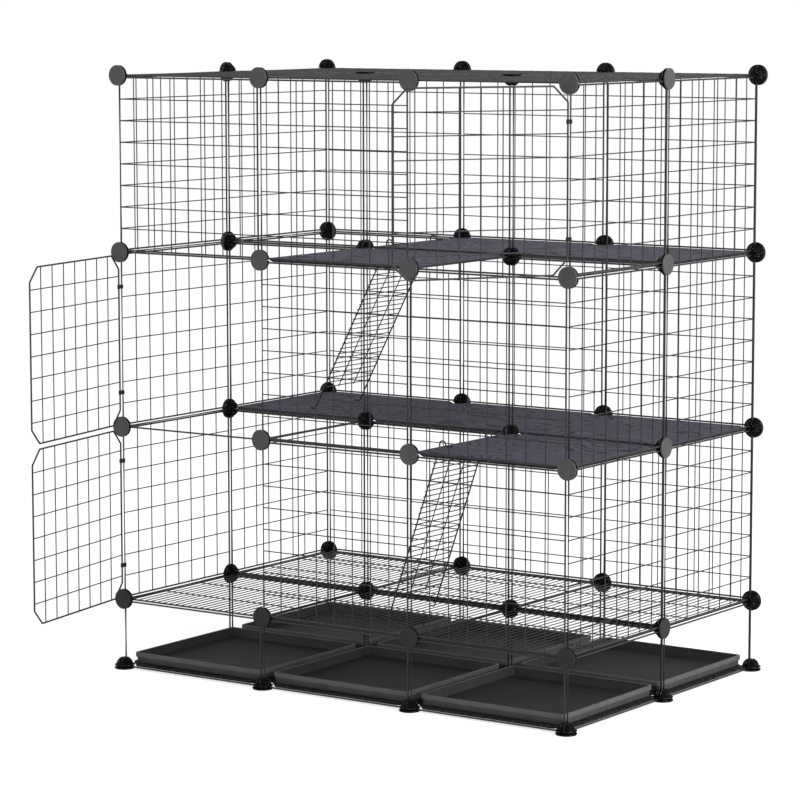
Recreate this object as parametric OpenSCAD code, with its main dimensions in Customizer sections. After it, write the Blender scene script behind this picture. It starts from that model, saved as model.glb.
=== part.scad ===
// Wire grid pet crate on a plan three cells wide and two cells deep.
// Three full tiers stand on a short base tier with litter trays.
// X runs across the front, Y runs to the back, Z is up.
// The corner of the grid, front left on the ground, is the origin.

/* [Grid] */
// Distance between two node lines, across, deep and high
pitch = 355; // [320:5:400]
// Height of the mesh floor level above the ground
base_h = 144; // [120:0.5:180]
// From a node line to the centre of the frame wire beside it
wire_off = 4.25; // [4.2:0.05:4.6]

/* [Wires] */
// Thickness of the outer wire of a panel
frame_wire = 3.5; // [3:0.1:3.8]
// Thickness of the mesh wires of a panel
mesh_wire = 2.2; // [1.6:0.1:2.8]
// Thickness of the close wires of the floor mesh
floor_wire = 2; // [1.4:0.1:2.2]
// Mesh openings along one side of a panel
mesh_cells = 8; // [6:1:9]
// Narrow openings across one floor mesh
floor_cells = 22; // [16:1:24]
// Rows of these openings along one floor mesh
floor_rows = 3; // [2:1:8]

/* [Connectors] */
// Diameter of the round face plate
disc_d = 41; // [38:0.5:44]
// Thickness of the face plate
disc_t = 3; // [2.5:0.1:4]
// Diameter of the ribbed dome behind the wires
dome_d = 35; // [32:0.5:36]
// Height of the dome, its top is cut flat
dome_h = 15.5; // [12:0.5:16]
// Thickness of the ribs beside the wire slots
rib_t = 1.8; // [1.2:0.1:2.2]
// Width of the grooves behind these ribs
groove_w = 2.4; // [1.5:0.1:3]

/* [Boards] */
// Thickness of the wooden boards
board_t = 4; // [3:0.1:4.2]
// Length cut off each side of a board at its corners
board_cut = 30; // [29:0.5:45]

/* [Trays] */
// Width and depth of a tray over its rim
tray_w = 327; // [290:1:330]
// Height of a tray
tray_h = 21.5; // [18:0.5:40]
// Height of the turned-down rim
rim_h = 9; // [6:0.5:10]
// Distance from the rim's edge to the tray's wall
rim_out = 7.3; // [7.1:0.1:9]
// Wall thickness of a tray
tray_wall = 2; // [1.5:0.1:3]

/* [Doors] */
// From a node line to the door's outer wire
door_gap = 5.5; // [4.8:0.1:12]
// Length cut off each side of a door at its corners
door_cut = 28.5; // [28:0.5:40]
// How far the two left doors stand open in the rest position
left_door_angle = 79.9; // [0:0.1:165]
// How far the right door stands open in the rest position
right_door_angle = 56.7; // [0:0.1:165]

/* [Ramps] */
// Width of a ramp between its outer rails
ramp_w = 161; // [120:1:200]
// How far the upper ramp reaches out from its shelf
upper_run = 193.5; // [150:0.5:240]
// How far the lower ramp reaches out from its shelf
lower_run = 131; // [90:0.5:200]
// Thickness of the outer rails and hooks
rail_wire = 3; // [2.4:0.1:3.2]
// Distance between two rungs
rung_gap = 12; // [8:0.5:25]

/* [Hidden] */

// Plan of the grid
columns_n = 3;
rows_n = 2;
levels_n = 4;
front_cells = [[1, 2], [1, 2], [0, 1]];
shelf_frame_cells_2 = [[0, 0], [1, 0]];
shelf_frame_cells_3 = [[0, 0], [0, 1], [2, 0]];
width = columns_n * pitch;
depth = rows_n * pitch;
span = pitch - 2 * wire_off;

// Clearances
snug = 0.15;
seat = 0.2;
running = 0.06;
weld = 0.15;

// Wire values
wire_sides = 8;
fine_sides = 4;
frame_half = frame_wire / 2;

// Connector values
slot_half = frame_half + snug;
column_in = wire_off + frame_half + snug;
column_r = 15;
core_half = wire_off - frame_half - snug;
dome_r = dome_d / 2;
disc_r = disc_d / 2;
disc_edge = 1;
dome_base = slot_half + 0.4;
groove_in = 7.5;
groove_off = slot_half + rib_t + groove_w / 2;
flange_t = 1.2;
reach = 30;

// Base values
base_wire_z = disc_t + slot_half;
base_frame_h = base_h - wire_off - base_wire_z;
base_board_z = base_wire_z + frame_half + seat;

// Board values
board_in = 0.7;
board_drop = wire_off - frame_half - seat;

// Tray values
tray_z = base_board_z + board_t + seat;
tray_in = (pitch - tray_w) / 2;
tray_corner = 8;
rim_t = 2.4;
skirt_t = 1.8;
floor_t = 1.8;
floor_step = 1.2;
floor_border = 12;

// Door values
hinge_off = 4.9;
door_w = pitch - 2 * door_gap;
corner_ball = frame_half + 0.25;
hinge_sink = 0.9;
clip_h = 8;
clip_wall = 1.3;
clip_cells = 1.5;
clip_web = 2.4;

// Ramp values
rail_half = rail_wire / 2;
bend_r = rail_half + 0.1;
hook_r = 7;
hook_back = 9;
hook_rise = 2;
tail_len = 16;
foot_len = 13;
first_rung = 10;
bare_rail = 47;
inner_rail = 0.33;
upper_ramp_y = 443;
lower_ramp_y = 116;
upper_ramp_shelf = [1, 3];
lower_ramp_shelf = [2, 2];

// Height of a grid level, the mesh floor is level one
function level(k) = base_h + (k - 1) * pitch;

// Bars and panels

// Straight wire along Z with its flats facing the axes
module bar(d, len, sides = wire_sides) {
  rotate([0, 0, 180 / sides])
    cylinder(h = len, r = d / 2 / cos(180 / sides), $fn = sides);
}

// Straight wire along X
module bar_x(d, len, sides = wire_sides) {
  rotate([0, 90, 0])
    bar(d, len, sides);
}

// Outer wire of a panel, standing in the XZ plane
module open_frame(w, h) {
  for (x = [0, w])
    translate([x, 0, 0])
      bar(frame_wire, h);
  for (z = [0, h])
    translate([-frame_half, 0, z])
      bar_x(frame_wire, w + frame_wire);
}

// Mesh wires between the outer wires, in two layers that touch
module mesh(w, h, nx, nz, d) {
  for (i = [1 : nx - 1])
    translate([i * w / nx, -d / 2, frame_half])
      bar(d, h - frame_wire, fine_sides);
  for (i = [1 : nz - 1])
    translate([frame_half, d / 2, i * h / nz])
      bar_x(d, w - frame_wire, fine_sides);
}

// Welded wall panel
module wall_panel() {
  union() {
    open_frame(span, span);
    mesh(span, span, mesh_cells, mesh_cells, mesh_wire);
  }
}

// Welded floor mesh with close wires, standing in the XZ plane
module close_panel() {
  union() {
    open_frame(span, span);
    mesh(span, span, floor_cells, floor_rows, floor_wire);
  }
}

// Places a panel in a wall that runs along X
module along_x(i, y, k) {
  translate([i * pitch + wire_off, y, level(k) + wire_off])
    children();
}

// Places a panel in a wall that runs along Y
module along_y(x, j, k) {
  translate([x, j * pitch + wire_off, level(k) + wire_off])
    rotate([0, 0, 90])
      children();
}

// Lays a panel flat in a level
module flat(i, j, k) {
  translate([i * pitch + wire_off, j * pitch + wire_off, level(k)])
    rotate([-90, 0, 0])
      children();
}

module front_row(k) {
  color([0.16, 0.16, 0.17])
    for (i = front_cells[k - 1])
      along_x(i, 0, k) wall_panel();
}

module back_row(k) {
  color([0.16, 0.16, 0.17])
    for (i = [0 : columns_n - 1])
      along_x(i, depth, k) wall_panel();
}

module side_row(x, k) {
  color([0.16, 0.16, 0.17])
    for (j = [0 : rows_n - 1])
      along_y(x, j, k) wall_panel();
}

module inner_row(k) {
  color([0.16, 0.16, 0.17])
    for (i = [0 : columns_n - 1])
      along_x(i, pitch, k) open_frame(span, span);
}

module shelf_frame_set(cells, k) {
  color([0.16, 0.16, 0.17])
    for (c = cells)
      flat(c[0], c[1], k) open_frame(span, span);
}

module top_row(j) {
  color([0.16, 0.16, 0.17])
    for (i = [0 : columns_n - 1])
      flat(i, j, levels_n) wall_panel();
}

module floor_row(j) {
  color([0.16, 0.16, 0.17])
    for (i = [0 : columns_n - 1])
      flat(i, j, 1) close_panel();
}

// Short frames of the base tier
module base_row_x(y) {
  color([0.16, 0.16, 0.17])
    for (i = [0 : columns_n - 1])
      translate([i * pitch + wire_off, y, base_wire_z])
        open_frame(span, base_frame_h);
}

module base_row_y(x) {
  color([0.16, 0.16, 0.17])
    for (j = [0 : rows_n - 1])
      translate([x, j * pitch + wire_off, base_wire_z])
        rotate([0, 0, 90])
          open_frame(span, base_frame_h);
}

// Connectors

// Box centred on the Z axis between two heights
module post(x, y, z0, z1) {
  translate([-x, -y, z0])
    cube([2 * x, 2 * y, z1 - z0]);
}

// Cross-shaped slots that take the wires of the panels behind the plate
module cross_slots(z0, z1) {
  post(slot_half, reach, z0, z1);
  post(reach, slot_half, z0, z1);
}

// Ribbed half ball with a flat top on a slotted flange, below the wire plane
module rib_dome() {
  difference() {
    intersection() {
      translate([0, 0, -dome_base])
        sphere(r = dome_r);
      translate([0, 0, -dome_base - dome_h])
        cylinder(h = dome_h, r = dome_r + 1);
    }
    cross_slots(-reach, 0);
    for (a = [0 : 90 : 270])
      rotate([0, 0, a])
        for (y = [-groove_off, groove_off])
          translate([groove_in + reach / 2, y, 0])
            post(reach / 2, groove_w / 2, -reach, -dome_base - flange_t);
  }
  difference() {
    translate([0, 0, -dome_base - flange_t])
      cylinder(h = flange_t, r = disc_r);
    cross_slots(-reach, 0);
  }
}

// Core between the wire ends, it joins the four quarters of the dome
module core(z0, z1) {
  post(core_half, core_half, z0, z1);
}

// Four stems that pass through the mesh corners around the node
module stems(z0, z1) {
  difference() {
    translate([0, 0, z0])
      cylinder(h = z1 - z0, r = column_r);
    post(column_in, reach, z0 - 1, z1 + 1);
    post(reach, column_in, z0 - 1, z1 + 1);
  }
}

// Face plate with a bevelled edge above the wire plane
module face_plate() {
  translate([0, 0, slot_half])
    cylinder(h = disc_t - disc_edge, r = disc_r);
  translate([0, 0, slot_half + disc_t - disc_edge])
    cylinder(h = disc_edge, r1 = disc_r, r2 = disc_r - disc_edge);
}

// Connector with one face plate, the plate looks along Z
module snap_connector() {
  union() {
    face_plate();
    stems(-dome_base, slot_half);
    core(-dome_base - dome_h, slot_half);
    rib_dome();
  }
}

// Connector in the middle of the crate, domes on both sides of the wires
module hub_connector() {
  union() {
    for (m = [0, 1])
      mirror([0, 0, m])
        rib_dome();
    stems(-dome_base, dome_base);
    core(-dome_base - dome_h, dome_base + dome_h);
  }
}

module at_node(i, j, k, turn) {
  translate([i * pitch, j * pitch, level(k)])
    rotate(turn)
      children();
}

module rim_connectors(k) {
  color([0.22, 0.22, 0.22]) {
    for (i = [0 : columns_n]) {
      at_node(i, 0, k, [90, 0, 0]) snap_connector();
      at_node(i, rows_n, k, [-90, 0, 0]) snap_connector();
    }
    for (j = [1 : rows_n - 1]) {
      at_node(0, j, k, [0, -90, 0]) snap_connector();
      at_node(columns_n, j, k, [0, 90, 0]) snap_connector();
    }
  }
}

module hub_connectors(k) {
  color([0.22, 0.22, 0.22])
    for (i = [1 : columns_n - 1])
      for (j = [1 : rows_n - 1])
        at_node(i, j, k, [0, 0, 0]) hub_connector();
}

module foot_connectors() {
  color([0.22, 0.22, 0.22])
    for (i = [0 : columns_n])
      for (j = [0 : rows_n])
        translate([i * pitch, j * pitch, base_wire_z])
          rotate([180, 0, 0])
            snap_connector();
}

module rim_connectors_1() { rim_connectors(1); }
module rim_connectors_2() { rim_connectors(2); }
module rim_connectors_3() { rim_connectors(3); }
module rim_connectors_4() { rim_connectors(levels_n); }
module hub_connectors_1() { hub_connectors(1); }
module hub_connectors_2() { hub_connectors(2); }
module hub_connectors_3() { hub_connectors(3); }
module hub_connectors_4() {
  color([0.22, 0.22, 0.22])
    for (i = [1 : columns_n - 1])
      for (j = [1 : rows_n - 1])
        at_node(i, j, levels_n, [0, 0, 0]) snap_connector();
}

module base_frames_front() { base_row_x(0); }
module base_frames_back() { base_row_x(depth); }
module base_frames_left() { base_row_y(0); }
module base_frames_right() { base_row_y(width); }
module base_frames_inner() { base_row_x(pitch); }

module floor_mesh_front() { floor_row(0); }
module floor_mesh_back() { floor_row(1); }
module front_panels_1() { front_row(1); }
module front_panels_2() { front_row(2); }
module front_panels_3() { front_row(3); }
module back_panels_1() { back_row(1); }
module back_panels_2() { back_row(2); }
module back_panels_3() { back_row(3); }
module left_panels_1() { side_row(0, 1); }
module left_panels_2() { side_row(0, 2); }
module left_panels_3() { side_row(0, 3); }
module right_panels_1() { side_row(width, 1); }
module right_panels_2() { side_row(width, 2); }
module right_panels_3() { side_row(width, 3); }
module inner_frames_1() { inner_row(1); }
module inner_frames_2() { inner_row(2); }
module inner_frames_3() { inner_row(3); }
module shelf_frames_2() { shelf_frame_set(shelf_frame_cells_2, 2); }
module shelf_frames_3() { shelf_frame_set(shelf_frame_cells_3, 3); }
module top_panels_front() { top_row(0); }
module top_panels_back() { top_row(1); }

// Boards

// Square board with its four corners cut off, it lies on the wires round a cell
module board(i, j, z) {
  w = pitch - 2 * board_in;
  cut = board_cut;
  color([0.3, 0.29, 0.32])
    translate([i * pitch + board_in, j * pitch + board_in, z])
      linear_extrude(height = board_t)
        polygon([
          [cut, 0], [w - cut, 0], [w, cut], [w, w - cut],
          [w - cut, w], [cut, w], [0, w - cut], [0, cut]
        ]);
}

module base_board_row(j) {
  for (i = [0 : columns_n - 1])
    board(i, j, base_board_z);
}

module shelf(i, j, k) {
  board(i, j, level(k) - board_drop);
}

module base_boards_front() { base_board_row(0); }
module base_boards_back() { base_board_row(1); }
module shelf_2_front_right() { shelf(2, 0, 2); }
module shelf_2_back_left() { shelf(0, 1, 2); }
module shelf_2_back_middle() { shelf(1, 1, 2); }
module shelf_2_back_right() { shelf(2, 1, 2); }
module shelf_3_front_middle() { shelf(1, 0, 3); }
module shelf_3_back_middle() { shelf(1, 1, 3); }
module shelf_3_back_right() { shelf(2, 1, 3); }

// Trays

// Square block with rounded upright edges, set in from the rim's outline
module tray_block(inset, z0, z1) {
  w = tray_w - 2 * inset;
  r = max(tray_corner - inset / 2, 1);
  translate([inset, inset, z0]) {
    translate([r, 0, 0])
      cube([w - 2 * r, w, z1 - z0]);
    translate([0, r, 0])
      cube([w, w - 2 * r, z1 - z0]);
    for (x = [r, w - r])
      for (y = [r, w - r])
        translate([x, y, 0])
          cylinder(h = z1 - z0, r = r);
  }
}

module tray(i, j) {
  color([0.12, 0.12, 0.125])
    translate([i * pitch + tray_in, j * pitch + tray_in, tray_z])
      difference() {
        union() {
          difference() {
            tray_block(0, tray_h - rim_h, tray_h);
            tray_block(skirt_t, tray_h - rim_h - 1, tray_h - rim_t);
          }
          tray_block(rim_out, 0, tray_h);
        }
        tray_block(rim_out + tray_wall, floor_t + floor_step, tray_h + 1);
        tray_block(rim_out + tray_wall + floor_border, floor_t, tray_h);
      }
}

module tray_front_left() { tray(0, 0); }
module tray_front_middle() { tray(1, 0); }
module tray_front_right() { tray(2, 0); }
module tray_back_left() { tray(0, 1); }
module tray_back_middle() { tray(1, 1); }
module tray_back_right() { tray(2, 1); }

// Doors

// Door leaf, closed, with its round hinge wire on the Z axis
module door_leaf() {
  straight = door_w - 2 * door_cut;
  slanted = door_cut * sqrt(2);
  mesh_layer = (mesh_wire - weld) / 2;
  union() {
    translate([0, 0, door_cut])
      cylinder(h = straight, r = frame_half);
    translate([door_w, 0, door_cut])
      bar(frame_wire, straight);
    for (z = [0, door_w])
      translate([door_cut, 0, z])
        bar_x(frame_wire, straight);
    for (x = [0, door_w])
      for (z = [door_cut, door_w - door_cut])
        translate([x, 0, z])
          sphere(r = corner_ball);
    for (x = [door_cut, door_w - door_cut])
      for (z = [0, door_w])
        translate([x, 0, z])
          sphere(r = corner_ball);
    for (m = [0, 1])
      translate([m * door_w, 0, 0])
        mirror([m, 0, 0])
          for (n = [0, 1])
            translate([0, 0, n * door_w])
              mirror([0, 0, n])
                translate([0, 0, door_cut])
                  rotate([0, 135, 0])
                    bar(frame_wire, slanted);
    for (i = [1 : mesh_cells - 1]) {
      translate([i * door_w / mesh_cells, -mesh_layer, frame_half - weld])
        bar(mesh_wire, door_w - frame_wire + 2 * weld, fine_sides);
      translate([hinge_sink, mesh_layer, i * door_w / mesh_cells])
        bar_x(mesh_wire, door_w - frame_half + weld - hinge_sink, fine_sides);
    }
  }
}

// Door hung at the left or the right side of its cell
module door(x, k, side, open) {
  color([0.16, 0.16, 0.17])
    translate([x, -hinge_off, level(k) + door_gap])
      mirror([side, 0, 0])
        rotate([0, 0, -open])
          door_leaf();
}

module door_lower_left() { door(0, 1, 0, left_door_angle); }
module door_middle_left() { door(0, 2, 0, left_door_angle); }
module door_upper_right() { door(width, 3, 1, right_door_angle); }

// Clip that holds the door's hinge wire beside the wall's frame wire
module hinge_clip() {
  door_bore = frame_half + running;
  post_bore = frame_half / cos(180 / wire_sides) + running;
  post_y = hinge_off + wire_off;
  difference() {
    union() {
      cylinder(h = clip_h, r = door_bore + clip_wall);
      translate([0, post_y, 0])
        cylinder(h = clip_h, r = post_bore + clip_wall);
      translate([-clip_web / 2, 0, 0])
        cube([clip_web, post_y, clip_h]);
    }
    translate([0, 0, -1])
      cylinder(h = clip_h + 2, r = door_bore);
    translate([0, post_y, -1])
      cylinder(h = clip_h + 2, r = post_bore);
  }
}

module hinge_clips(x, k) {
  color([0.1, 0.1, 0.1])
    for (z = [clip_cells * door_w / mesh_cells, door_w - clip_cells * door_w / mesh_cells])
      translate([x, -hinge_off, level(k) + door_gap + z - clip_h / 2])
        hinge_clip();
}

module hinge_clips_lower_left() { hinge_clips(0, 1); }
module hinge_clips_middle_left() { hinge_clips(0, 2); }
module hinge_clips_upper_right() { hinge_clips(width, 3); }

// Ramps

// Hook over the shelf's edge, from the rail's top end to the tail on the board.
// The shelf's node line is at X zero, the tail's lower side at Z zero.
module hook(top_z) {
  right = 2 * hook_r - hook_back;
  translate([-hook_back, 0, top_z])
    sphere(r = bend_r);
  translate([-hook_back, 0, top_z])
    cylinder(h = hook_rise + rail_half - top_z, r = rail_half);
  translate([hook_r - hook_back, 0, hook_rise + rail_half])
    rotate([90, 0, 0])
      rotate_extrude(angle = 180)
        translate([hook_r, 0])
          circle(r = rail_half);
  translate([right, 0, rail_half])
    cylinder(h = hook_rise, r = rail_half);
  translate([right, 0, rail_half])
    sphere(r = rail_half);
  translate([right, 0, rail_half])
    rotate([0, 90, 0])
      cylinder(h = tail_len, r = rail_half);
}

// Ramp whose tail lies on Z zero, its foot stands at minus drop
module ramp(run, drop) {
  top_z = -board_t;
  fall = drop - board_t - rail_half;
  slide = run - hook_back;
  len = sqrt(slide * slide + fall * fall);
  tilt = atan2(fall, slide);
  rung_d = mesh_wire;
  rungs = floor((len - first_rung - bare_rail) / rung_gap);
  union() {
    for (y = [0, ramp_w]) {
      translate([0, y, 0])
        hook(top_z);
      translate([-run, y, -drop + rail_half])
        sphere(r = bend_r);
      translate([-run - foot_len, y, -drop + rail_half])
        rotate([0, 90, 0])
          cylinder(h = foot_len, r = rail_half);
    }
    translate([-hook_back, 0, top_z])
      rotate([0, 180 - tilt, 0]) {
        for (y = [0, ramp_w])
          translate([0, y, 0])
            rotate([0, 90, 0])
              cylinder(h = len, r = rail_half);
        for (f = [inner_rail, 1 - inner_rail])
          translate([first_rung - rung_d, f * ramp_w, -rail_half + rung_d / 2])
            bar_x(rung_d, rungs * rung_gap + 2 * rung_d, fine_sides);
        for (i = [0 : rungs])
          translate([first_rung + i * rung_gap, -rail_half, weld - rail_half - rung_d / 2])
            rotate([-90, 0, 0])
              bar(rung_d, ramp_w + rail_wire, fine_sides);
      }
  }
}

// Places a ramp's hooks on the left edge of a shelf, given by its column and its level
module at_shelf(shelf, y) {
  translate([shelf[0] * pitch, y, level(shelf[1]) - board_drop + board_t + seat])
    children();
}

module ramp_upper() {
  color([0.16, 0.16, 0.17])
    at_shelf(upper_ramp_shelf, upper_ramp_y) ramp(upper_run, pitch);
}

module ramp_lower() {
  color([0.16, 0.16, 0.17])
    at_shelf(lower_ramp_shelf, lower_ramp_y) ramp(lower_run, pitch - board_drop + board_t - floor_wire);
}

foot_connectors();
rim_connectors_1();
rim_connectors_2();
rim_connectors_3();
rim_connectors_4();
hub_connectors_1();
hub_connectors_2();
hub_connectors_3();
hub_connectors_4();
base_frames_front();
base_frames_back();
base_frames_left();
base_frames_right();
base_frames_inner();
base_boards_front();
base_boards_back();
floor_mesh_front();
floor_mesh_back();
front_panels_1();
front_panels_2();
front_panels_3();
back_panels_1();
back_panels_2();
back_panels_3();
left_panels_1();
left_panels_2();
left_panels_3();
right_panels_1();
right_panels_2();
right_panels_3();
inner_frames_1();
inner_frames_2();
inner_frames_3();
shelf_frames_2();
shelf_frames_3();
top_panels_front();
top_panels_back();
shelf_2_front_right();
shelf_2_back_left();
shelf_2_back_middle();
shelf_2_back_right();
shelf_3_front_middle();
shelf_3_back_middle();
shelf_3_back_right();
tray_front_left();
tray_front_middle();
tray_front_right();
tray_back_left();
tray_back_middle();
tray_back_right();
door_lower_left();
door_middle_left();
door_upper_right();
hinge_clips_lower_left();
hinge_clips_middle_left();
hinge_clips_upper_right();
ramp_upper();
ramp_lower();
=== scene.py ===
# %% [markdown]
# # A wire grid pet crate
# The crate is built from square grid panels that snap into round plastic connectors. Inside are
# wooden shelves and two wire ramps, in front are three doors, and litter trays slide under a
# close mesh floor. The CAD frame holds the sizes and the joints, and this lesson dresses it.

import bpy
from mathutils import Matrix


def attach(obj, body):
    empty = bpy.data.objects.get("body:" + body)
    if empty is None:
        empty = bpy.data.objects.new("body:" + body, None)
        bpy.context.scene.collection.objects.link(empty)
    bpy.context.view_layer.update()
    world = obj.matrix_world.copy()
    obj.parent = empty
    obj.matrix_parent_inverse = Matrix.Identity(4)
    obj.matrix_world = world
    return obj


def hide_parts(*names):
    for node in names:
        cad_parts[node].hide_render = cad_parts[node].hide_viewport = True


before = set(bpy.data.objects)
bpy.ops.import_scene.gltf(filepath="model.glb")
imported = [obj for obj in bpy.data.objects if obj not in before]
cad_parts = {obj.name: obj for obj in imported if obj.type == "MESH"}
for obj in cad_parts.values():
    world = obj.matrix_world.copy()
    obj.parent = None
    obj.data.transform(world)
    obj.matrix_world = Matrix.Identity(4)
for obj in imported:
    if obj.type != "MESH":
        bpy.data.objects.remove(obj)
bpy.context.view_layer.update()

# %% Tools and sizes
import math

import bmesh
import bpy
from mathutils import Matrix, Vector

MM = 0.001
PITCH = 355 * MM
BASE_H = 144 * MM
WIRE_OFF = 4.25 * MM
FRAME_WIRE = 3.5 * MM
MESH_WIRE = 2.2 * MM
FLOOR_WIRE = 2.0 * MM
MESH_CELLS = 8
FLOOR_CELLS, FLOOR_ROWS = 22, 3
SPAN = PITCH - 2 * WIRE_OFF
COLUMNS, ROWS, TIERS = 3, 2, 3
TOP_LEVEL = 4


def level(k):
    """Height of a grid level, the close mesh floor is level 1."""
    return BASE_H + (k - 1) * PITCH


# %% [markdown]
# ## Camera
# The photo was taken with a long lens from about 6.5 m away, off the crate's right front corner
# and a little higher than its top. The camera's place and turn were solved from the regular grid
# of the panels, where every face plate marks a point whose real place is known. The rows below
# are the camera's right, up and back directions.

# %% Camera
CAMERA_AT = (4.2058, -5.0427, 1.3694)
CAMERA_ROWS = (
    (0.82026593, 0.57198109, -0.0012002),
    (-0.06987965, 0.10229507, 0.99229661),
    (0.56769767, -0.81386322, 0.123879),
)
LENS_MM = 146.245
SENSOR_MM = 36.0
FARTHEST = 60.0

scene = bpy.context.scene
camera_data = bpy.data.cameras.new("camera")
camera_data.lens = LENS_MM
camera_data.sensor_width = SENSOR_MM
camera_data.clip_end = FARTHEST
camera = bpy.data.objects.new("camera", camera_data)
scene.collection.objects.link(camera)
camera.matrix_world = Matrix.Translation(CAMERA_AT) @ Matrix(CAMERA_ROWS).transposed().to_4x4()
scene.camera = camera
print("camera at", CAMERA_AT, "with a lens of", LENS_MM, "mm")

# %% [markdown]
# ## Small helpers
# Colours are written as sRGB hex values, as a picture editor shows them, and Blender's shaders
# want linear light. One function makes the change, and one adds a node with its settings, so that
# each material below reads as a list of its nodes.


# %% Colour and nodes
def linear(hex_value):
    """Turns an sRGB hex colour into linear RGBA."""
    parts = [int(hex_value[i:i + 2], 16) / 255 for i in (1, 3, 5)]
    light = [c / 12.92 if c <= 0.04045 else ((c + 0.055) / 1.055) ** 2.4 for c in parts]
    return (*light, 1.0)


def add_node(tree, kind, settings=None, **inputs):
    """Adds a node, sets its properties and colour stops, and sets or links its inputs.

    An input goes by its name, with _ for a space, or by i and its number where names repeat.
    """
    made = tree.nodes.new(kind)
    for name, value in (settings or {}).items():
        if name == "stops":
            for stop, (position, hex_value) in zip(made.color_ramp.elements, value):
                stop.position = position
                stop.color = linear(hex_value)
        else:
            setattr(made, name, value)
    for name, value in inputs.items():
        numbered = name[0] == "i" and name[1:].isdigit()
        socket = made.inputs[int(name[1:]) if numbered else name.replace("_", " ")]
        if isinstance(value, bpy.types.NodeSocket):
            tree.links.new(value, socket)
        else:
            socket.default_value = value
    return made


# %% [markdown]
# ## Round wire
# Every panel is made of round steel wire. A wire is a ring of points carried along a line: each
# ring stands square to the line, and at a bend it leans half way between the two directions. The
# open ends get a small domed cap, as a cropped and coated wire has.


# %% Wire maker
WIRE_SIDES = 12
CAP_RING = 0.7  # width of a cap's flat middle, as a share of the wire's
CAP_DOME = 0.3  # how far a cap's rim steps back, as a share of the wire's radius
SHARPEST_BEND = 0.5  # a ring is stretched no further than at this cosine of half the bend
STRAIGHT = 1e-6  # directions that differ less than this make no bend


def sweep_wire(mesh, line, radius, closed=False, sides=WIRE_SIDES):
    """Adds one wire along a line of points to a bmesh."""
    line = [Vector(p) for p in line]
    count = len(line)
    spans = count if closed else count - 1
    steps = [(line[(i + 1) % count] - line[i]).normalized() for i in range(spans)]
    across = steps[0].orthogonal().normalized()
    rings = []
    for i, point in enumerate(line):
        before = steps[i - 1] if closed or i > 0 else steps[0]
        after = steps[min(i, spans - 1)]
        along = (before + after).normalized()
        across = (across - along * across.dot(along)).normalized()
        side = along.cross(across)
        lean = after - before
        stretch = 1 / max(before.dot(along), SHARPEST_BEND)
        bend = lean.normalized() if lean.length > STRAIGHT else None
        ring = []
        for s in range(sides):
            turn = 2 * math.pi * s / sides
            spoke = across * math.cos(turn) + side * math.sin(turn)
            if bend is not None:
                spoke = spoke + bend * spoke.dot(bend) * (stretch - 1)
            ring.append(mesh.verts.new(point + spoke * radius))
        rings.append(ring)
    pairs = list(zip(rings, rings[1:])) + ([(rings[-1], rings[0])] if closed else [])
    for low, high in pairs:
        shift = 0
        if closed and low is rings[-1]:
            shift = min(range(sides), key=lambda k: (high[k].co - low[0].co).length)
        for s in range(sides):
            t = (s + 1) % sides
            mesh.faces.new((low[s], low[t], high[(t + shift) % sides], high[(s + shift) % sides]))
    if not closed:
        cap_wire(mesh, rings[0], line[0], -steps[0], radius)
        cap_wire(mesh, rings[-1], line[-1], steps[-1], radius)


def cap_wire(mesh, ring, centre, outward, radius):
    """Closes a wire's end with a shallow dome that stays inside the wire's length."""
    inner = [mesh.verts.new(centre + (v.co - centre) * CAP_RING) for v in ring]
    for v in ring:
        v.co -= outward * radius * CAP_DOME
    middle = mesh.verts.new(centre)
    sides = len(ring)
    for s in range(sides):
        a, b = ring[s], ring[(s + 1) % sides]
        c, d = inner[(s + 1) % sides], inner[s]
        faces_out = (b.co - a.co).cross(d.co - a.co).dot(outward) > 0
        mesh.faces.new((a, b, c, d) if faces_out else (d, c, b, a))
        mesh.faces.new((d, c, middle) if faces_out else (middle, c, d))


def bend_corners(points, radius, steps=5, closed=True):
    """Rounds the corners of a line of points with arcs of one radius."""
    points = [Vector(p) for p in points]
    count = len(points)
    made = []
    for i, p in enumerate(points):
        if not closed and i in (0, count - 1):
            made.append(p)
            continue
        a = (points[i - 1] - p).normalized()
        b = (points[(i + 1) % count] - p).normalized()
        half = a.angle(b) / 2
        reach = radius / math.tan(half)
        centre = p + (a + b).normalized() * radius / math.sin(half)
        start = p + a * reach - centre
        end = p + b * reach - centre
        for k in range(steps + 1):
            made.append(centre + start.normalized().slerp(end.normalized(), k / steps) * radius)
    return made


# %% [markdown]
# ## Putting pieces in the scene
# One panel is modelled once as a mesh, then copied into the piece of its wall at each cell. The
# piece replaces the CAD node whose place it takes, and it rides on the same body. A mirrored copy
# gets its faces turned round again, or they would point inwards.


# %% Piece maker
CRATE = "crate"
WIRE_SMOOTH = math.radians(42)


def piece_from(name, parts, material, nodes, body=CRATE):
    """Joins (mesh, matrix) parts into one piece that stands for CAD nodes."""
    joined = bmesh.new()
    for source, matrix in parts:
        copy = source.copy()
        copy.transform(matrix)
        if matrix.determinant() < 0:
            copy.flip_normals()
        joined.from_mesh(copy)
        bpy.data.meshes.remove(copy)
    data = bpy.data.meshes.new(name)
    joined.normal_update()
    joined.to_mesh(data)
    joined.free()
    for polygon in data.polygons:
        polygon.use_smooth = True
    data.set_sharp_from_angle(angle=WIRE_SMOOTH)
    data.materials.append(material)
    made = bpy.data.objects.new(name, data)
    scene.collection.objects.link(made)
    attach(made, body)
    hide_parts(*nodes)
    return made


def mesh_of(build):
    """Runs a function that fills a bmesh and returns the mesh."""
    work = bmesh.new()
    build(work)
    data = bpy.data.meshes.new("work")
    work.to_mesh(data)
    work.free()
    return data


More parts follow.
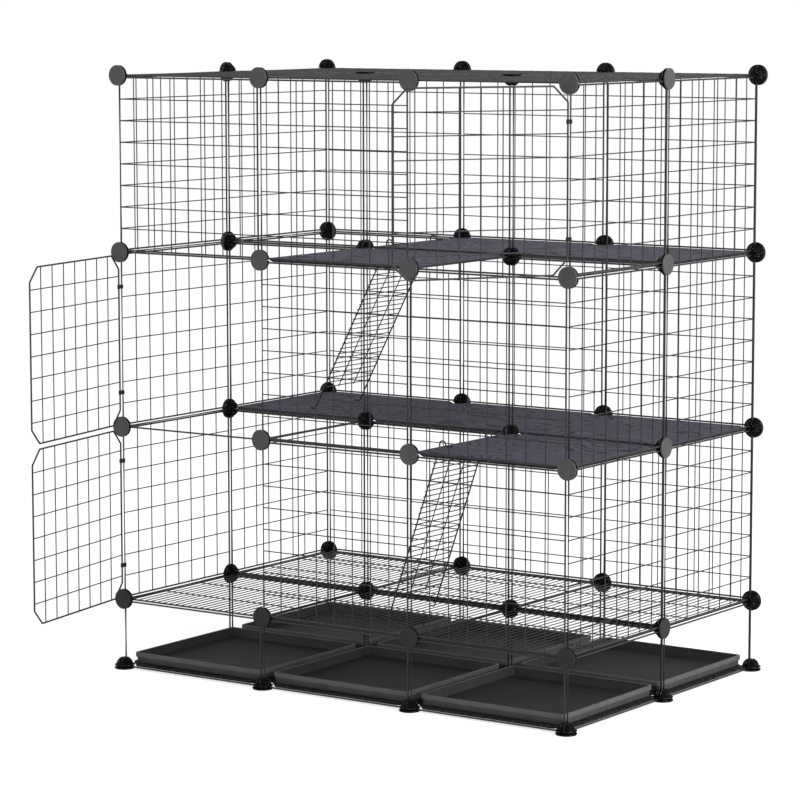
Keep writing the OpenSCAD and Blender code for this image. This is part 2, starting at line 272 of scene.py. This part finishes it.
# %% [markdown]
# ## Black coated wire
# The panels are steel wire under a baked powder coat: black with a soft sheen and the faint
# orange-peel texture of a powder finish. The texture is drawn at its real width of 1.2 mm, because
# a coarser one would look like dents on wires this thin. The film varies slowly along a wire, which
# shifts the tone and the sheen a little.


# %% Wire coat
def new_material(name):
    """Makes an empty node material and returns it with its tree and output node."""
    made = bpy.data.materials.new(name)
    made.use_nodes = True
    made.node_tree.nodes.clear()
    out = made.node_tree.nodes.new("ShaderNodeOutputMaterial")
    return made, made.node_tree, out


def scale_for(size_mm):
    """Texture scale at which one feature is about size_mm wide."""
    return 1.0 / (size_mm * MM)


def powder_coat(name, dark, light):
    """Baked powder coat with two close tones."""
    made, tree, out = new_material(name)
    place = add_node(tree, "ShaderNodeTexCoord")
    patches = add_node(tree, "ShaderNodeTexNoise", Vector=place.outputs["Object"],
                       Scale=scale_for(60), Detail=4.0, Roughness=0.6)
    colour = add_node(tree, "ShaderNodeValToRGB", {"stops": ((0.35, dark), (0.65, light))},
                      Fac=patches.outputs["Fac"])
    sheen = add_node(tree, "ShaderNodeMapRange", Value=patches.outputs["Fac"],
                     To_Min=0.34, To_Max=0.46)
    peel = add_node(tree, "ShaderNodeTexNoise", Vector=place.outputs["Object"],
                    Scale=scale_for(1.2), Detail=2.0)
    bump = add_node(tree, "ShaderNodeBump", Height=peel.outputs["Fac"],
                    Strength=0.25, Distance=0.02 * MM)
    skin = add_node(tree, "ShaderNodeBsdfPrincipled", Base_Color=colour.outputs["Color"],
                    Roughness=sheen.outputs["Result"], Normal=bump.outputs["Normal"], IOR=1.5,
                    Specular_IOR_Level=0.35)
    tree.links.new(skin.outputs["BSDF"], out.inputs["Surface"])
    return made


wire_coat = powder_coat("black powder coated steel", "#0f0f10", "#161617")
print("material:", wire_coat.name)

# %% [markdown]
# ## Moulded plastic
# The connectors are matt black injection moulded polypropylene, the clips nylon and the trays
# formed polystyrene sheet. A mould leaves a fine spark-eroded grain, and handling leaves slightly
# smoother patches. The real grain is 0.1 to 0.2 mm wide. It is drawn at 0.4 to 0.8 mm, so that a
# near view shows it.


# %% Plastic maker
def moulded_plastic(name, dark, light, rough, grain_mm, gloss):
    """Dull plastic with two close tones, a middle roughness, a grain width and a gloss."""
    made, tree, out = new_material(name)
    place = add_node(tree, "ShaderNodeTexCoord")
    patches = add_node(tree, "ShaderNodeTexNoise", Vector=place.outputs["Object"],
                       Scale=scale_for(25), Detail=3.0)
    colour = add_node(tree, "ShaderNodeValToRGB", {"stops": ((0.35, dark), (0.65, light))},
                      Fac=patches.outputs["Fac"])
    worn = add_node(tree, "ShaderNodeMapRange", Value=patches.outputs["Fac"],
                    To_Min=rough - 0.05, To_Max=rough + 0.05)
    grain = add_node(tree, "ShaderNodeTexNoise", Vector=place.outputs["Object"],
                     Scale=scale_for(grain_mm), Detail=3.0)
    bump = add_node(tree, "ShaderNodeBump", Height=grain.outputs["Fac"],
                    Strength=0.2, Distance=0.03 * MM)
    skin = add_node(tree, "ShaderNodeBsdfPrincipled", Base_Color=colour.outputs["Color"],
                    Roughness=worn.outputs["Result"], Normal=bump.outputs["Normal"], IOR=1.49,
                    Specular_IOR_Level=gloss)
    tree.links.new(skin.outputs["BSDF"], out.inputs["Surface"])
    return made


# %% [markdown]
# On the ribbed half balls only the rims of the ribs catch light, as fine bright lines. A Bevel
# node turns the surface normal near an edge, and where it has turned the plastic gets a polish.


# %% Polished rib edges
FLAT, TURNED = 0.99, 0.88  # cosines between the rounded and the true normal, off and on an edge


def catch_edges(made, edge_mm):
    """Rounds a material's edges in the shading and polishes them, and leaves the rest dull."""
    tree = made.node_tree
    skin = next(n for n in tree.nodes if n.type == "BSDF_PRINCIPLED")
    bump = next(n for n in tree.nodes if n.type == "BUMP")
    rounded = add_node(tree, "ShaderNodeBevel", {"samples": 6}, Radius=edge_mm * MM)
    tree.links.new(rounded.outputs["Normal"], bump.inputs["Normal"])
    face = add_node(tree, "ShaderNodeNewGeometry")
    agree = add_node(tree, "ShaderNodeVectorMath", {"operation": "DOT_PRODUCT"},
                     i0=rounded.outputs["Normal"], i1=face.outputs["Normal"])
    rough = add_node(tree, "ShaderNodeMapRange", Value=agree.outputs["Value"],
                     From_Min=TURNED, From_Max=FLAT, To_Min=0.18, To_Max=0.55)
    shine = add_node(tree, "ShaderNodeMapRange", Value=agree.outputs["Value"],
                     From_Min=TURNED, From_Max=FLAT, To_Min=0.7, To_Max=0.03)
    tree.links.new(rough.outputs["Result"], skin.inputs["Roughness"])
    tree.links.new(shine.outputs["Result"], skin.inputs["Specular IOR Level"])


# %% [markdown]
# The face plates are dark grey. The plates of the floor level get a darker copy of the same plastic
# and the ribs a nearly black one, both as painted shade. The trays have three tones of one plastic:
# the floor keeps the sheet's colour, and the walls and the rim get paler copies as painted light.

# %% Plastics of the crate
connector_plastic = moulded_plastic("matt black polypropylene", "#353535", "#3d3d3e",
                                    rough=0.55, grain_mm=0.5, gloss=0.3)
# Painted shade: the floor level's plates get this darker copy of the plate plastic.
floor_level_shade_plastic = moulded_plastic("matt black polypropylene, floor level painted shade", "#171717", "#1d1d1e",
                                rough=0.55, grain_mm=0.5, gloss=0.2)
# Painted shade: a nearly black copy of the same plastic, for the ribs and for whole hubs and feet.
near_black_shade_plastic = moulded_plastic("black polypropylene with painted rib shade", "#030304", "#060607",
                              rough=0.5, grain_mm=0.5, gloss=0.35)
catch_edges(near_black_shade_plastic, edge_mm=0.8)  # replaces the ribs' roughness and gloss
clip_plastic = moulded_plastic("black nylon", "#101011", "#161617",
                               rough=0.42, grain_mm=0.4, gloss=0.2)
tray_plastic = moulded_plastic("charcoal polystyrene sheet", "#1e1e1f", "#242425",
                               rough=0.7, grain_mm=0.8, gloss=0.08)
# Painted light: paler copies of the tray plastic, a little paler for the inner walls, more for the
# rim and outer side.
painted_light_wall_plastic = moulded_plastic("charcoal polystyrene, wall with painted light", "#262627", "#2c2c2d",
                            rough=0.65, grain_mm=0.8, gloss=0.15)
painted_light_side_plastic = moulded_plastic("charcoal polystyrene, side with painted light", "#434344", "#4a4a4b",
                               rough=0.6, grain_mm=0.8, gloss=0.2)
for plastic in (connector_plastic, floor_level_shade_plastic, near_black_shade_plastic, clip_plastic,
                tray_plastic, painted_light_wall_plastic, painted_light_side_plastic):
    print("material:", plastic.name)

# %% [markdown]
# ## Stained wood
# The shelves are thin wood boards with a blue-grey stain. The grain runs across the crate, with
# long fine fibres and growth rings that close into long ovals, as in a sheet peeled from a log.
# The boards under the trays get a nearly black copy of the same stain as painted shade, and the
# sawn edges of the shelves a darker copy.


# %% Board wood
def stained_wood(name, dark, light):
    """Stained board with growth rings from a dark to a light tone."""
    made, tree, out = new_material(name)
    place = add_node(tree, "ShaderNodeTexCoord")
    # The figure of real boards is 60 to 120 mm long. A slow, stretched noise is cut by a wave
    # into contour lines, which close into ovals round its peaks, as cut growth rings do.
    stretched = add_node(tree, "ShaderNodeMapping", Vector=place.outputs["Object"],
                         Scale=(0.5, 1.0, 1.0))
    growth = add_node(tree, "ShaderNodeTexNoise", Vector=stretched.outputs["Vector"],
                      Scale=scale_for(95), Detail=1.0, Roughness=0.4, Distortion=0.3)
    rings = add_node(tree, "ShaderNodeTexWave", {"wave_type": "BANDS", "bands_direction": "X"},
                     Vector=growth.outputs["Color"], Scale=5.5, Distortion=0.0)
    ring_tone = add_node(tree, "ShaderNodeValToRGB", {"stops": ((0.02, dark), (0.4, light))},
                         Fac=rings.outputs["Fac"])
    # Fibres are about 1 mm wide and 30 mm long. They are drawn coarser, 3 mm by 100 mm, because
    # a pixel of the picture is 2 mm wide.
    along = add_node(tree, "ShaderNodeMapping", Vector=place.outputs["Object"],
                     Scale=(0.03, 1.0, 1.0))
    fibres = add_node(tree, "ShaderNodeTexNoise", Vector=along.outputs["Vector"],
                      Scale=scale_for(3), Detail=5.0, Roughness=0.65)
    fibre_tone = add_node(tree, "ShaderNodeValToRGB",
                          {"stops": ((0.3, "#d4d4d8"), (0.7, "#ffffff"))},
                          Fac=fibres.outputs["Fac"])
    grained = add_node(tree, "ShaderNodeMix", {"data_type": "RGBA", "blend_type": "MULTIPLY"},
                       i0=1.0, i6=ring_tone.outputs["Color"], i7=fibre_tone.outputs["Color"])
    bump = add_node(tree, "ShaderNodeBump", Height=fibres.outputs["Fac"],
                    Strength=0.3, Distance=0.1 * MM)
    skin = add_node(tree, "ShaderNodeBsdfPrincipled", Base_Color=grained.outputs[2],
                    Roughness=0.75, Normal=bump.outputs["Normal"], IOR=1.45,
                    Specular_IOR_Level=0.08)
    tree.links.new(skin.outputs["BSDF"], out.inputs["Surface"])
    return made


board_wood = stained_wood("blue grey stained wood", "#2c2a32", "#504d59")
edge_wood = stained_wood("stained sawn edge", "#1b1b1d", "#29292b")
# Painted shade: a nearly black copy of the blue grey stain, for the boards under the trays.
painted_shade_base_wood = stained_wood("blue grey stain with painted shade", "#151517", "#252527")
print("materials:", board_wood.name, "/", edge_wood.name, "/", painted_shade_base_wood.name)

# %% [markdown]
# ## Wire panels
# A wall panel is a frame wire bent round a square, with eight by eight mesh openings welded to it.
# The mesh wires lie in two layers, upright wires on one side and level wires on the other, and the
# welds sink them a little into each other and into the frame.

# %% Panel meshes
BEND_R = 4.0 * MM
SINK = 0.12 * MM
FRAME_SIDES = 14


def frame_loop(mesh, width, height):
    """One frame wire, bent round a rectangle."""
    corners = [(0, 0, 0), (width, 0, 0), (width, 0, height), (0, 0, height)]
    sweep_wire(mesh, bend_corners(corners, BEND_R), FRAME_WIRE / 2, closed=True, sides=FRAME_SIDES)


def mesh_wires(mesh, width, height, cells_x, cells_z, size):
    """Upright wires in one layer and level wires in the other."""
    layer = size / 2 - SINK
    for i in range(1, cells_x):
        x = i * width / cells_x
        sweep_wire(mesh, [(x, -layer, 0), (x, -layer, height)], size / 2)
    for i in range(1, cells_z):
        z = i * height / cells_z
        sweep_wire(mesh, [(0, layer, z), (width, layer, z)], size / 2)


def build_wall_panel(mesh):
    """A frame with the square mesh of the walls and the top."""
    frame_loop(mesh, SPAN, SPAN)
    mesh_wires(mesh, SPAN, SPAN, MESH_CELLS, MESH_CELLS, MESH_WIRE)


def build_floor_panel(mesh):
    """A frame with the close wires of the cage floor."""
    frame_loop(mesh, SPAN, SPAN)
    mesh_wires(mesh, SPAN, SPAN, FLOOR_CELLS, FLOOR_ROWS, FLOOR_WIRE)


BASE_WIRE_Z = 4.9 * MM
BASE_FRAME_H = BASE_H - WIRE_OFF - BASE_WIRE_Z
wall_panel = mesh_of(build_wall_panel)
floor_panel = mesh_of(build_floor_panel)
open_frame = mesh_of(lambda mesh: frame_loop(mesh, SPAN, SPAN))
base_frame = mesh_of(lambda mesh: frame_loop(mesh, SPAN, BASE_FRAME_H))
print("one wall panel has", len(wall_panel.polygons), "faces")
print("one floor panel has", len(floor_panel.polygons), "faces")

# %% [markdown]
# ## Walls, floors and frames
# Each cell of the grid has a place: along a wall that runs across, along a wall that runs deep, or
# flat in a level. The pieces of one wall are joined, as in the CAD node that they stand for.


# %% Places in the grid
def along_x(i, y, z):
    """Place of cell i in a wall that runs across."""
    return Matrix.Translation((i * PITCH + WIRE_OFF, y, z))


def along_y(x, j, z):
    """Place of cell j in a wall that runs deep."""
    return Matrix.Translation((x, j * PITCH + WIRE_OFF, z)) @ Matrix.Rotation(math.pi / 2, 4, "Z")


def flat(i, j, k):
    """Place of cell i, j lying flat in level k."""
    return (Matrix.Translation((i * PITCH + WIRE_OFF, j * PITCH + WIRE_OFF, level(k)))
            @ Matrix.Rotation(-math.pi / 2, 4, "X"))


# %% Wall panels
FRONT_CELLS = {1: (1, 2), 2: (1, 2), 3: (0, 1)}
wire_pieces = []
for k in range(1, TIERS + 1):
    z = level(k) + WIRE_OFF
    rows = {
        "front_panels": [along_x(i, 0, z) for i in FRONT_CELLS[k]],
        "back_panels": [along_x(i, ROWS * PITCH, z) for i in range(COLUMNS)],
        "left_panels": [along_y(0, j, z) for j in range(ROWS)],
        "right_panels": [along_y(COLUMNS * PITCH, j, z) for j in range(ROWS)],
    }
    for name, places in rows.items():
        wire_pieces.append(piece_from(f"{name}_{k}_wire", [(wall_panel, p) for p in places],
                                      wire_coat, [f"{name}_{k}"]))
    wire_pieces.append(piece_from(f"inner_frames_{k}_wire",
                                  [(open_frame, along_x(i, PITCH, z)) for i in range(COLUMNS)],
                                  wire_coat, [f"inner_frames_{k}"]))
print(len(wire_pieces), "wall pieces")

# %% Floors, top, shelf frames and base frames
flat_sets = {
    "floor_mesh_front": [(floor_panel, flat(i, 0, 1)) for i in range(COLUMNS)],
    "floor_mesh_back": [(floor_panel, flat(i, 1, 1)) for i in range(COLUMNS)],
    "top_panels_front": [(wall_panel, flat(i, 0, TOP_LEVEL)) for i in range(COLUMNS)],
    "top_panels_back": [(wall_panel, flat(i, 1, TOP_LEVEL)) for i in range(COLUMNS)],
    "shelf_frames_2": [(open_frame, flat(i, j, 2)) for i, j in ((0, 0), (1, 0))],
    "shelf_frames_3": [(open_frame, flat(i, j, 3)) for i, j in ((0, 0), (0, 1), (2, 0))],
    "base_frames_front": [(base_frame, along_x(i, 0, BASE_WIRE_Z)) for i in range(COLUMNS)],
    "base_frames_back": [(base_frame, along_x(i, ROWS * PITCH, BASE_WIRE_Z))
                         for i in range(COLUMNS)],
    "base_frames_inner": [(base_frame, along_x(i, PITCH, BASE_WIRE_Z)) for i in range(COLUMNS)],
    "base_frames_left": [(base_frame, along_y(0, j, BASE_WIRE_Z)) for j in range(ROWS)],
    "base_frames_right": [(base_frame, along_y(COLUMNS * PITCH, j, BASE_WIRE_Z))
                          for j in range(ROWS)],
}
for name, parts in flat_sets.items():
    wire_pieces.append(piece_from(f"{name}_wire", parts, wire_coat, [name]))
print(len(wire_pieces), "wire pieces so far")

# %% [markdown]
# ## Doors
# A door is a wire leaf with its four corners cut off. It stands open in the photo, so it is built
# closed, mirrored for the right hand, and turned about its hinge wire. Each row below has the
# hinge wire's x, the level, the hand (1 or -1) and the angle in the photo.

# %% Door leaves
DOOR_W = 344 * MM
DOOR_CUT = 28.5 * MM
HINGE_OFF = 4.9 * MM
DOOR_Z = (PITCH - DOOR_W) / 2
DOORS = {
    "door_lower_left": (0.0, 1, 1, 79.9),
    "door_middle_left": (0.0, 2, 1, 79.9),
    "door_upper_right": (COLUMNS * PITCH, 3, -1, 56.7),
}


def build_door(mesh):
    """A closed leaf with its hinge wire on the z axis."""
    w, c = DOOR_W, DOOR_CUT
    corners = [(c, 0, 0), (w - c, 0, 0), (w, 0, c), (w, 0, w - c),
               (w - c, 0, w), (c, 0, w), (0, 0, w - c), (0, 0, c)]
    sweep_wire(mesh, bend_corners(corners, BEND_R, steps=4), FRAME_WIRE / 2, closed=True,
               sides=FRAME_SIDES)
    mesh_wires(mesh, w, w, MESH_CELLS, MESH_CELLS, MESH_WIRE)


door_leaf = mesh_of(build_door)
for name, (x, k, hand, opened) in DOORS.items():
    place = (Matrix.Translation((x, -HINGE_OFF, level(k) + DOOR_Z))
             @ Matrix.Diagonal((hand, 1, 1, 1))
             @ Matrix.Rotation(math.radians(-opened), 4, "Z"))
    piece_from(f"{name}_wire", [(door_leaf, place)], wire_coat, [name], body=name)
    print(name, "stands open", opened, "degrees")


# %% [markdown]
# ## Ramps
# A ramp is bent from two outer rails. At the top each rail turns into a hook that goes over the
# edge of the shelf, at the bottom it turns level as a foot. Thin rungs lie across the rails, and
# two inner rails stiffen them. Each ramp has a place for its hook, a reach and a drop.

# %% Ramp wires
RAIL = 3.0 * MM
RAMP_W = 161 * MM
BOARD_T = 4.0 * MM
HOOK_R = 7 * MM
HOOK_BACK = 9 * MM
HOOK_RISE = 2 * MM
TAIL = 16 * MM
FOOT = 13 * MM
FIRST_RUNG = 10 * MM
RUNG_GAP = 12 * MM
BARE_RAIL = 47 * MM
TAIL_Z = 1.9 * MM
TAIL_R = 1.4 * MM
KNEE_R = 5 * MM
ARCH_STEPS = 14
RUNG_SINK = 0.15 * MM
INNER_RAILS = (0.33, 0.67)


def build_ramp(mesh, run, drop):
    """One ramp, with its hook at the origin and its foot run away and drop below."""
    r = RAIL / 2
    right = 2 * HOOK_R - HOOK_BACK
    arch_z = HOOK_RISE + r
    knee = Vector((-HOOK_BACK, 0, -BOARD_T))
    toe = Vector((-run, 0, -drop + r))
    arch = [(HOOK_R - HOOK_BACK + HOOK_R * math.cos(a), 0, arch_z + HOOK_R * math.sin(a))
            for a in (math.pi * i / ARCH_STEPS for i in range(ARCH_STEPS + 1))]
    tail = bend_corners([(right + TAIL, 0, r), (right, 0, r), arch[0]], TAIL_R, closed=False)
    leg = bend_corners([arch[-1], knee, toe, (-run - FOOT, 0, -drop + r)], KNEE_R, closed=False)
    line = tail[:-1] + [Vector(p) for p in arch] + leg[1:]
    for y in (0, RAMP_W):
        sweep_wire(mesh, [Vector((p[0], y, p[2])) for p in line], r)
    down = (toe - knee).normalized()
    up = Vector((down.z, 0, -down.x))
    rungs = int(((toe - knee).length - FIRST_RUNG - BARE_RAIL) / RUNG_GAP)
    thin = MESH_WIRE / 2
    for i in range(rungs + 1):
        at = knee + down * (FIRST_RUNG + i * RUNG_GAP) + up * (r + thin - RUNG_SINK)
        sweep_wire(mesh, [(at.x, -r, at.z), (at.x, RAMP_W + r, at.z)], thin)
    first = knee + down * (FIRST_RUNG - MESH_WIRE) + up * (r - thin)
    last = first + down * (rungs * RUNG_GAP + 2 * MESH_WIRE)
    for y in (share * RAMP_W for share in INNER_RAILS):
        sweep_wire(mesh, [(first.x, y, first.z), (last.x, y, last.z)], thin)
    print("ramp with", rungs + 1, "rungs")


RAMPS = {
    "ramp_upper": ((PITCH, 443 * MM, level(3) + TAIL_Z), 193.5 * MM, 355 * MM),
    "ramp_lower": ((2 * PITCH, 116 * MM, level(2) + TAIL_Z), 131 * MM, 354.7 * MM),
}
for name, (place, run, drop) in RAMPS.items():
    ramp = mesh_of(lambda mesh: build_ramp(mesh, run, drop))
    piece_from(f"{name}_wire", [(ramp, Matrix.Translation(place))], wire_coat, [name], body=name)

# %% [markdown]
# ## Litter trays
# A tray is one formed sheet. Its section runs from the underside up the outer wall, round the
# turned-down skirt, over the rounded rim, down the slightly sloping inner wall, and over a low
# step to the floor. The section is carried round a square with round corners. The rim and the outer
# side get a paler copy of the plastic as painted light, and the inner walls a slightly paler one as
# painted light, so each zone has its own plastic. A row of the section has its inset from the
# tray's
# edge, its height and its corner radius, in mm.

# %% Tray shell
TRAY_W = 327 * MM
TRAY_AT = (14 * MM, 14 * MM, 11.05 * MM)
TRAY_OUTSIDE = [
    (5.2, 0.0, 6.0), (4.0, 0.4, 6.0), (3.2, 1.4, 6.0), (1.7, 18.9, 6.5), (1.4, 19.5, 6.5),
    (0.9, 19.0, 7.0), (0.9, 12.5, 7.0), (0.0, 12.5, 8.0), (0.0, 20.3, 8.0), (0.3, 21.1, 8.0),
    (1.0, 21.5, 8.0),
]
TRAY_INSIDE = [
    (3.4, 21.5, 7.5), (4.4, 21.2, 7.5), (4.9, 20.4, 7.5), (7.0, 4.8, 9.0), (7.8, 3.5, 9.0),
    (9.2, 3.0, 9.0), (20.2, 3.0, 8.5), (21.2, 2.7, 8.5), (22.0, 2.0, 8.0), (23.0, 1.8, 8.0),
]
RIM_ROWS = len(TRAY_OUTSIDE) + 1  # bands of faces up to the rim's inner edge
WALL_ROWS = len(TRAY_OUTSIDE) + 4  # and on down the inner wall


def square_ring(mesh, inset, z, radius, steps=6):
    """One ring of vertices round a square with round corners."""
    low, high = inset + radius, TRAY_W - inset - radius
    ring = []
    for quarter, (x, y) in enumerate(((high, low), (high, high), (low, high), (low, low))):
        for s in range(steps + 1):
            turn = math.pi / 2 * (quarter - 1 + s / steps)
            at = (x + radius * math.cos(turn), y + radius * math.sin(turn), z)
            ring.append(mesh.verts.new(at))
    return ring


def build_tray(mesh):
    """The whole shell: material 1 outside and on the rim and 2 on the wall, both painted light, 0
    elsewhere.
    """
    rings = [square_ring(mesh, inset * MM, z * MM, r * MM)
             for inset, z, r in TRAY_OUTSIDE + TRAY_INSIDE]
    for row, (low, high) in enumerate(zip(rings, rings[1:])):
        for s in range(len(low)):
            t = (s + 1) % len(low)
            face = mesh.faces.new((low[s], low[t], high[t], high[s]))
            # Painted light: the rim and outside take the palest plastic, the inner wall a slightly
            # paler one.
            face.material_index = 1 if row < RIM_ROWS else 2 if row < WALL_ROWS else 0
    mesh.faces.new(list(reversed(rings[0])))
    mesh.faces.new(rings[-1])


tray_shell = mesh_of(build_tray)
for j, side in enumerate(("front", "back")):
    for i, column in enumerate(("left", "middle", "right")):
        name = f"tray_{side}_{column}"
        place = Matrix.Translation((i * PITCH + TRAY_AT[0], j * PITCH + TRAY_AT[1], TRAY_AT[2]))
        shell = piece_from(f"{name}_shell", [(tray_shell, place)], tray_plastic, [name], body=name)
        # The painted light plastics go in as the shell's second and third materials.
        shell.data.materials.append(painted_light_side_plastic)
        shell.data.materials.append(painted_light_wall_plastic)
print("6 trays,", len(tray_shell.polygons), "faces each")

# %% [markdown]
# ## Connectors, boards and clips
# These keep their CAD shapes. They get their materials and smooth shading on the round faces. The
# boards also get a small bevel, because a sawn and sanded edge catches light there.


# %% Dress the CAD parts
CAD_SMOOTH = math.radians(32)
BEVEL_FROM = math.radians(50)
BOARD_BEVEL = 0.4 * MM


def dress(names, material, bevel=0.0):
    """Gives CAD nodes a material, smooth round faces and, if asked, a bevel."""
    for name in names:
        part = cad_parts[name]
        part.data.materials.clear()
        part.data.materials.append(material)
        for polygon in part.data.polygons:
            polygon.use_smooth = True
        part.data.set_sharp_from_angle(angle=CAD_SMOOTH)
        if bevel:
            edge = part.modifiers.new("edge", "BEVEL")
            edge.width = bevel
            edge.segments = 2
            edge.limit_method = "ANGLE"
            edge.angle_limit = BEVEL_FROM


names = sorted(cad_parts)
connectors = [n for n in names if "connectors" in n]
clips = [n for n in names if n.startswith("hinge_clips")]
shelves = [n for n in names if n.startswith(("shelf_2", "shelf_3"))]
base_boards = [n for n in names if n.startswith("base_boards")]
dress(connectors, connector_plastic)
# Painted shade: the floor level's connectors get the darker plate plastic.
dress(["rim_connectors_1"], floor_level_shade_plastic)
dress(clips, clip_plastic)
dress(shelves, board_wood, BOARD_BEVEL)
# The boards under the trays get the nearly black painted shade.
dress(base_boards, painted_shade_base_wood, BOARD_BEVEL)
print(len(connectors), "connector nodes,", len(clips), "clip nodes,",
      len(shelves) + len(base_boards), "board nodes")

# %% [markdown]
# The upright sawn edges of a shelf board get a darker copy of the stain than its faces.

# %% Board edges
LEVEL_FACE = 0.5

for name in shelves:
    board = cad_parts[name]
    board.data.materials.append(edge_wood)
    for polygon in board.data.polygons:
        polygon.material_index = int(abs(polygon.normal.z) < LEVEL_FACE)
print("sawn edges on", len(shelves), "shelf nodes")

# %% [markdown]
# The face plates keep the plastic's dark grey and the mould's matt grain, while the ribbed half
# balls behind them get a nearly black copy of the plastic as painted shade, with light on the ribs'
# edges only. A face belongs to a plate when it lies outside the panels' wires. The feet and the
# connectors in the middle get the nearly black painted shade all over.

# %% Plates and ribs
PLATE_FROM = 1.8 * MM


def outward(name, at):
    """How far a point of a connector lies outside the wires, along the plate's axis."""
    # Hubs and feet count as inside, so all their faces get the nearly black painted shade.
    if name.startswith(("hub", "foot")):
        return 0.0
    if 0 < round(at.y / PITCH) < ROWS:
        return max(-at.x, at.x - COLUMNS * PITCH)
    return max(-at.y, at.y - ROWS * PITCH)


for name in connectors:
    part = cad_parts[name]
    part.data.materials.append(near_black_shade_plastic)
    for polygon in part.data.polygons:
        at = part.matrix_world @ polygon.center
        # Index 1 is the nearly black painted shade: the ribs, and all of a hub or foot.
        polygon.material_index = int(outward(name, at) < PLATE_FROM)
print(len(connectors), "connector nodes with grey plates and ribs in painted shade")

# %% [markdown]
# ## Studio
# The photo was cut out on pure white. The floor and the world are white where the camera looks
# straight at them or sees them in a reflection, and the light that falls on the crate stays as it
# is. The floor still takes the crate's shadow. A large soft lamp stands at the right, which makes
# the discs that face right lighter than those in front, and a weaker one fills in from the left.


# %% Floor and world
def seen_directly(tree):
    """Is 1 where a surface is looked at, straight on, in a reflection or through glass."""
    rays = add_node(tree, "ShaderNodeLightPath")
    seen = rays.outputs["Is Camera Ray"]
    for ray in ("Is Glossy Ray", "Is Transmission Ray"):
        seen = add_node(tree, "ShaderNodeMath", {"operation": "MAXIMUM"},
                        i0=seen, i1=rays.outputs[ray]).outputs["Value"]
    return seen


def studio_floor():
    """White paper that glows where it is looked at, over a grey that still takes a shadow."""
    made, tree, out = new_material("white studio floor")
    grain = add_node(tree, "ShaderNodeTexNoise", Scale=3.0, Detail=2.0)
    tone = add_node(tree, "ShaderNodeMapRange", Value=grain.outputs["Fac"],
                    To_Min=0.55, To_Max=0.6)
    skin = add_node(tree, "ShaderNodeBsdfPrincipled", Base_Color=linear("#f7f7f7"),
                    Roughness=tone.outputs["Result"], Specular_IOR_Level=0.0)
    shade = add_node(tree, "ShaderNodeBsdfPrincipled", Base_Color=linear("#a0a0a0"),
                     Roughness=tone.outputs["Result"], Specular_IOR_Level=0.0)
    glow = add_node(tree, "ShaderNodeEmission", Color=linear("#ffffff"), Strength=0.73)
    lifted = add_node(tree, "ShaderNodeAddShader",
                      i0=shade.outputs["BSDF"], i1=glow.outputs["Emission"])
    both = add_node(tree, "ShaderNodeMixShader", Fac=seen_directly(tree),
                    i1=skin.outputs["BSDF"], i2=lifted.outputs["Shader"])
    tree.links.new(both.outputs["Shader"], out.inputs["Surface"])
    return made


FLOOR_REACH = 12.0

floor_shape = bmesh.new()
bmesh.ops.create_grid(floor_shape, x_segments=4, y_segments=4, size=FLOOR_REACH)
floor_data = bpy.data.meshes.new("studio floor")
floor_shape.to_mesh(floor_data)
floor_shape.free()
floor_data.materials.append(studio_floor())
floor = bpy.data.objects.new("studio_floor", floor_data)
scene.collection.objects.link(floor)
print("the floor reaches", FLOOR_REACH, "m each way")

world = bpy.data.worlds.new("white studio")
scene.world = world
world.use_nodes = True
air = world.node_tree
air.nodes.clear()
lit = add_node(air, "ShaderNodeBackground", Color=linear("#ffffff"), Strength=0.8)
bright = add_node(air, "ShaderNodeBackground", Color=linear("#ffffff"), Strength=1.0)
both = add_node(air, "ShaderNodeMixShader", Fac=seen_directly(air),
                i1=lit.outputs["Background"], i2=bright.outputs["Background"])
add_node(air, "ShaderNodeOutputWorld", Surface=both.outputs["Shader"])

# %% Lamps
LAMPS = {  # place, width and watts
    "key": ((4.6, 0.2, 2.4), 2.6, 250.0),
    "fill": ((-2.6, -4.2, 2.0), 3.0, 60.0),
}
middle = Vector((0.53, 0.35, 0.6))
for name, (place, size, power) in LAMPS.items():
    data = bpy.data.lights.new(name, "AREA")
    data.size = size
    data.energy = power
    lamp = bpy.data.objects.new(name, data)
    lamp.location = place
    lamp.rotation_euler = (middle - Vector(place)).to_track_quat("-Z", "Y").to_euler()
    scene.collection.objects.link(lamp)
    print("lamp", name, "at", place, "with", power, "W")

scene.view_settings.view_transform = "Standard"
